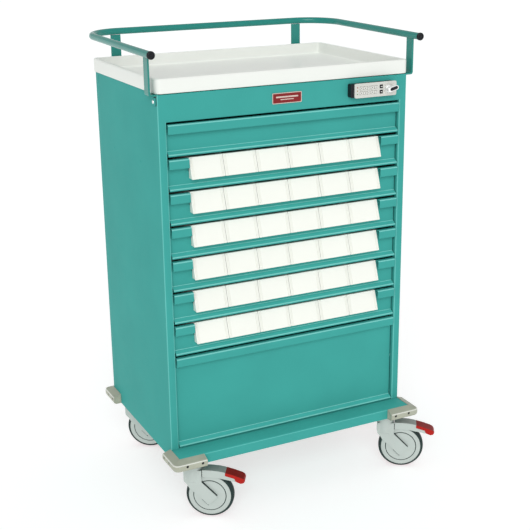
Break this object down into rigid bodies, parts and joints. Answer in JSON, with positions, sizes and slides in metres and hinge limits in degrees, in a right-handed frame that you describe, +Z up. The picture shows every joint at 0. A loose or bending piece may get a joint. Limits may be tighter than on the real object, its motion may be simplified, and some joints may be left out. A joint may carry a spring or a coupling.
{
  "type": "medication cart",
  "caption": "Wheeled ward cabinet with stacked drawers, rows of sloping white bins, a recessed work tray, tubular guard rail, corner bumpers and a keypad lock.",
  "frame": {"origin": "middle of the whole cart's footprint, casters and pedals included, on the floor", "axes": "+Z up; the drawers open towards -Y, so -Y is the front; +X is to the right seen from the front"},
  "size_m": [0.7128, 0.533, 1.089],
  "materials": {
    "teal_enamel": "satin powder coat",
    "tray_white": "smooth moulded plastic, soft gloss",
    "bin_white": "moulded plastic, faint grain",
    "bumper_beige": "matt vinyl moulding",
    "caster_grey": "moulded nylon, satin",
    "tyre_dark": "smooth dark tread",
    "brake_red": "glossy moulded plastic",
    "zinc_steel": "zinc plated",
    "lock_silver": "satin",
    "key_silver": "satin metallised plastic",
    "black_plastic": "fine grain",
    "badge_red": "glossy printed plate with a silver border"
  },
  "bodies": {
    "cabinet": {"left_side_panel": "teal_enamel", "right_side_panel": "teal_enamel", "back_panel": "teal_enamel", "top_panel": "teal_enamel", "front_fascia": "teal_enamel", "base_frame": "teal_enamel", "work_tray": "tray_white", "guard_rail": "teal_enamel", "left_rail_post": "teal_enamel", "right_rail_post": "teal_enamel", "rear_left_rail_post": "teal_enamel", "rear_right_rail_post": "teal_enamel", "front_left_bumper": "bumper_beige", "front_right_bumper": "bumper_beige", "rear_left_bumper": "bumper_beige", "rear_right_bumper": "bumper_beige", "left_slide_plate": "zinc_steel", "right_slide_plate": "zinc_steel", "lock_housing": "black_plastic", "lock_face": "lock_silver", "name_badge": "badge_red"},
    "drawer_1_body": {"drawer_1": "teal_enamel"},
    "drawer_2_body": {"drawer_2": "teal_enamel", "drawer_2_bins": "bin_white"},
    "drawer_3_body": {"drawer_3": "teal_enamel", "drawer_3_bins": "bin_white"},
    "drawer_4_body": {"drawer_4": "teal_enamel", "drawer_4_bins": "bin_white"},
    "drawer_5_body": {"drawer_5": "teal_enamel", "drawer_5_bins": "bin_white"},
    "drawer_6_body": {"drawer_6": "teal_enamel", "drawer_6_bins": "bin_white"},
    "drawer_7_body": {"drawer_7": "teal_enamel", "drawer_7_bins": "bin_white"},
    "drawer_8_body": {"drawer_8": "teal_enamel"},
    "lock_knob_body": {"lock_knob": "lock_silver"},
    "lock_bar_body": {"lock_bar": "zinc_steel"},
    "key_1_body": {"key_1": "key_silver"},
    "key_2_body": {"key_2": "key_silver"},
    "key_3_body": {"key_3": "key_silver"},
    "key_4_body": {"key_4": "key_silver"},
    "key_5_body": {"key_5": "key_silver"},
    "key_6_body": {"key_6": "key_silver"},
    "key_7_body": {"key_7": "key_silver"},
    "key_8_body": {"key_8": "key_silver"},
    "key_9_body": {"key_9": "key_silver"},
    "key_0_body": {"key_0": "key_silver"},
    "clear_key_body": {"clear_key": "black_plastic"},
    "enter_key_body": {"enter_key": "black_plastic"},
    "front_left_caster": {"front_left_caster_fork": "caster_grey"},
    "front_left_wheel_body": {"front_left_wheel": "caster_grey"},
    "front_left_pedal": {"front_left_brake_pedal": "caster_grey"},
    "front_right_caster": {"front_right_caster_fork": "caster_grey"},
    "front_right_wheel_body": {"front_right_wheel": "caster_grey"},
    "front_right_pedal": {"front_right_brake_pedal": "caster_grey"},
    "rear_left_caster": {"rear_left_caster_fork": "caster_grey"},
    "rear_left_wheel_body": {"rear_left_wheel": "caster_grey"},
    "rear_right_caster": {"rear_right_caster_fork": "caster_grey"},
    "rear_right_wheel_body": {"rear_right_wheel": "caster_grey"}
  },
  "joints": [
    {"name": "drawer_1_slide", "type": "slide", "parent": "cabinet", "child": "drawer_1_body", "axis": [0, -1, 0], "range_m": [0, 0.29]},
    {"name": "drawer_2_slide", "type": "slide", "parent": "cabinet", "child": "drawer_2_body", "axis": [0, -1, 0], "range_m": [0, 0.29]},
    {"name": "drawer_3_slide", "type": "slide", "parent": "cabinet", "child": "drawer_3_body", "axis": [0, -1, 0], "range_m": [0, 0.29]},
    {"name": "drawer_4_slide", "type": "slide", "parent": "cabinet", "child": "drawer_4_body", "axis": [0, -1, 0], "range_m": [0, 0.29]},
    {"name": "drawer_5_slide", "type": "slide", "parent": "cabinet", "child": "drawer_5_body", "axis": [0, -1, 0], "range_m": [0, 0.29]},
    {"name": "drawer_6_slide", "type": "slide", "parent": "cabinet", "child": "drawer_6_body", "axis": [0, -1, 0], "range_m": [0, 0.29]},
    {"name": "drawer_7_slide", "type": "slide", "parent": "cabinet", "child": "drawer_7_body", "axis": [0, -1, 0], "range_m": [0, 0.29]},
    {"name": "drawer_8_slide", "type": "slide", "parent": "cabinet", "child": "drawer_8_body", "axis": [0, -1, 0], "range_m": [0, 0.29]},
    {"name": "lock_knob_turn", "type": "hinge", "parent": "cabinet", "child": "lock_knob_body", "pos_m": [0.22649, -0.19383, 0.964], "axis": [0, -1, 0], "range_deg": [0, 90]},
    {"name": "lock_bar_lift", "type": "slide", "parent": "cabinet", "child": "lock_bar_body", "axis": [0, 0, 1], "range_m": [0, 0.0084]},
    {"name": "key_1_press", "type": "slide", "parent": "cabinet", "child": "key_1_body", "axis": [0, 1, 0], "range_m": [0, 0.0008], "stiffness_N_per_m": 250},
    {"name": "key_2_press", "type": "slide", "parent": "cabinet", "child": "key_2_body", "axis": [0, 1, 0], "range_m": [0, 0.0008], "stiffness_N_per_m": 250},
    {"name": "key_3_press", "type": "slide", "parent": "cabinet", "child": "key_3_body", "axis": [0, 1, 0], "range_m": [0, 0.0008], "stiffness_N_per_m": 250},
    {"name": "key_4_press", "type": "slide", "parent": "cabinet", "child": "key_4_body", "axis": [0, 1, 0], "range_m": [0, 0.0008], "stiffness_N_per_m": 250},
    {"name": "key_5_press", "type": "slide", "parent": "cabinet", "child": "key_5_body", "axis": [0, 1, 0], "range_m": [0, 0.0008], "stiffness_N_per_m": 250},
    {"name": "key_6_press", "type": "slide", "parent": "cabinet", "child": "key_6_body", "axis": [0, 1, 0], "range_m": [0, 0.0008], "stiffness_N_per_m": 250},
    {"name": "key_7_press", "type": "slide", "parent": "cabinet", "child": "key_7_body", "axis": [0, 1, 0], "range_m": [0, 0.0008], "stiffness_N_per_m": 250},
    {"name": "key_8_press", "type": "slide", "parent": "cabinet", "child": "key_8_body", "axis": [0, 1, 0], "range_m": [0, 0.0008], "stiffness_N_per_m": 250},
    {"name": "key_9_press", "type": "slide", "parent": "cabinet", "child": "key_9_body", "axis": [0, 1, 0], "range_m": [0, 0.0008], "stiffness_N_per_m": 250},
    {"name": "key_0_press", "type": "slide", "parent": "cabinet", "child": "key_0_body", "axis": [0, 1, 0], "range_m": [0, 0.0008], "stiffness_N_per_m": 250},
    {"name": "clear_key_press", "type": "slide", "parent": "cabinet", "child": "clear_key_body", "axis": [0, 1, 0], "range_m": [0, 0.0008], "stiffness_N_per_m": 250},
    {"name": "enter_key_press", "type": "slide", "parent": "cabinet", "child": "enter_key_body", "axis": [0, 1, 0], "range_m": [0, 0.0008], "stiffness_N_per_m": 250},
    {"name": "front_left_caster_swivel", "type": "hinge", "parent": "cabinet", "child": "front_left_caster", "pos_m": [-0.28391, -0.18893, 0.13], "axis": [0, 0, 1], "continuous": true},
    {"name": "front_left_wheel_roll", "type": "hinge", "parent": "front_left_caster", "child": "front_left_wheel_body", "pos_m": [-0.24999, -0.21013, 0.0565], "axis": [0.5299, 0.848, 0], "continuous": true},
    {"name": "front_left_brake_press", "type": "hinge", "parent": "front_left_caster", "child": "front_left_pedal", "pos_m": [-0.26101, -0.20324, 0.112], "axis": [0.5299, 0.848, 0], "range_deg": [0, 8]},
    {"name": "front_right_caster_swivel", "type": "hinge", "parent": "cabinet", "child": "front_right_caster", "pos_m": [0.24489, -0.18893, 0.13], "axis": [0, 0, 1], "continuous": true},
    {"name": "front_right_wheel_roll", "type": "hinge", "parent": "front_right_caster", "child": "front_right_wheel_body", "pos_m": [0.27881, -0.21013, 0.0565], "axis": [0.5299, 0.848, 0], "continuous": true},
    {"name": "front_right_brake_press", "type": "hinge", "parent": "front_right_caster", "child": "front_right_pedal", "pos_m": [0.26779, -0.20324, 0.112], "axis": [0.5299, 0.848, 0], "range_deg": [0, 8]},
    {"name": "rear_left_caster_swivel", "type": "hinge", "parent": "cabinet", "child": "rear_left_caster", "pos_m": [-0.28391, 0.21167, 0.13], "axis": [0, 0, 1], "continuous": true},
    {"name": "rear_left_wheel_roll", "type": "hinge", "parent": "rear_left_caster", "child": "rear_left_wheel_body", "pos_m": [-0.24999, 0.19047, 0.0565], "axis": [0.5299, 0.848, 0], "continuous": true},
    {"name": "rear_right_caster_swivel", "type": "hinge", "parent": "cabinet", "child": "rear_right_caster", "pos_m": [0.24489, 0.21167, 0.13], "axis": [0, 0, 1], "continuous": true},
    {"name": "rear_right_wheel_roll", "type": "hinge", "parent": "rear_right_caster", "child": "rear_right_wheel_body", "pos_m": [0.27881, 0.19047, 0.0565], "axis": [0.5299, 0.848, 0], "continuous": true}
  ],
  "couplings": [
    {"joint": "lock_bar_lift", "follows": "lock_knob_turn", "m_per_rad": 0.00509}
  ]
}
